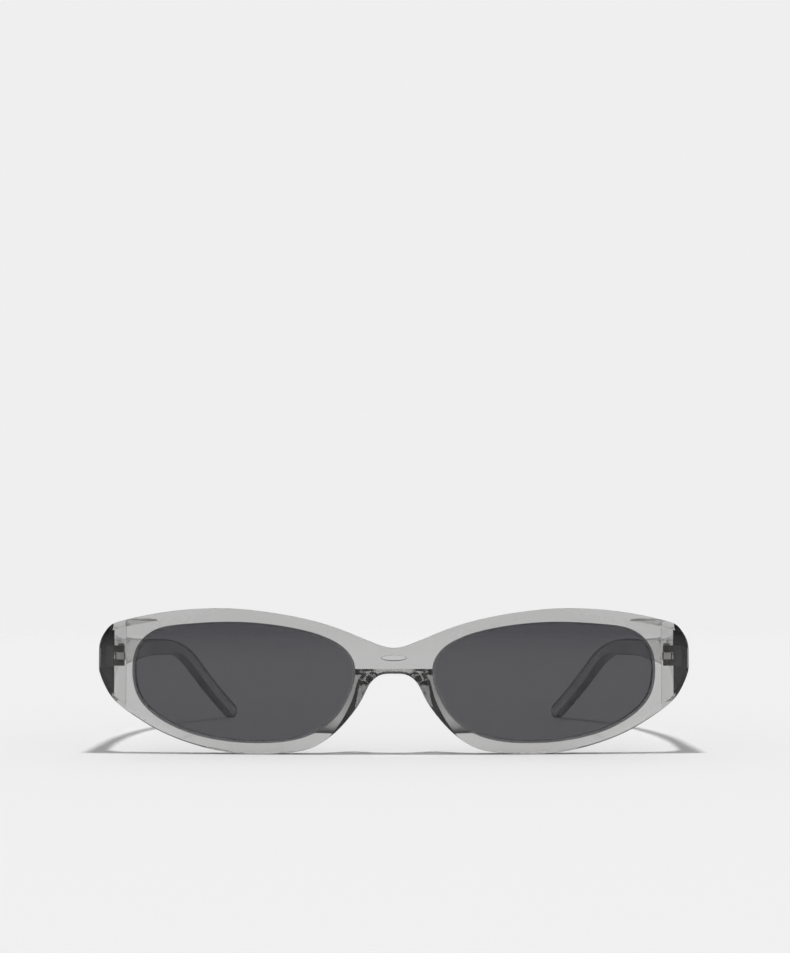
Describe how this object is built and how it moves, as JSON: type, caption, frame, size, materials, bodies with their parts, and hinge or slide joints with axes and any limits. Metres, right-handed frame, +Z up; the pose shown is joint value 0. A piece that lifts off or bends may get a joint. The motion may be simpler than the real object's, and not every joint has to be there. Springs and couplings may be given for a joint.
{
  "type": "narrow oval sunglasses",
  "caption": "Narrow oval sunglasses in clear grey plastic with dark grey lenses, moulded nose pads and side arms that fold on sunk metal hinges.",
  "frame": {"origin": "on the floor under the middle of the open sunglasses' box", "axes": "+Z up, the front faces -Y, the temples run back along +Y, +X is the wearer's left"},
  "size_m": [0.147, 0.1392, 0.036],
  "materials": {
    "frame_plastic": "clear light grey, polished",
    "lens_tint": "dark grey tint, polished",
    "hinge_metal": "plated, satin",
    "screw_metal": "bright, slotted"
  },
  "bodies": {
    "front": {"front_frame": "frame_plastic", "lens_right": "lens_tint", "lens_left": "lens_tint", "front_hinge_leaf_right": "hinge_metal", "front_hinge_leaf_left": "hinge_metal"},
    "temple_right": {"temple_right": "frame_plastic", "temple_hinge_leaf_right": "hinge_metal", "hinge_screw_right": "screw_metal"},
    "temple_left": {"temple_left": "frame_plastic", "temple_hinge_leaf_left": "hinge_metal", "hinge_screw_left": "screw_metal"}
  },
  "joints": [
    {"name": "temple_right_fold", "type": "hinge", "parent": "front", "child": "temple_right", "pos_m": [-0.0682, -0.05891, 0.024], "axis": [0, 0, -1], "range_deg": [0, 73]},
    {"name": "temple_left_fold", "type": "hinge", "parent": "front", "child": "temple_left", "pos_m": [0.0682, -0.05891, 0.024], "axis": [0, 0, 1], "range_deg": [0, 82]}
  ]
}
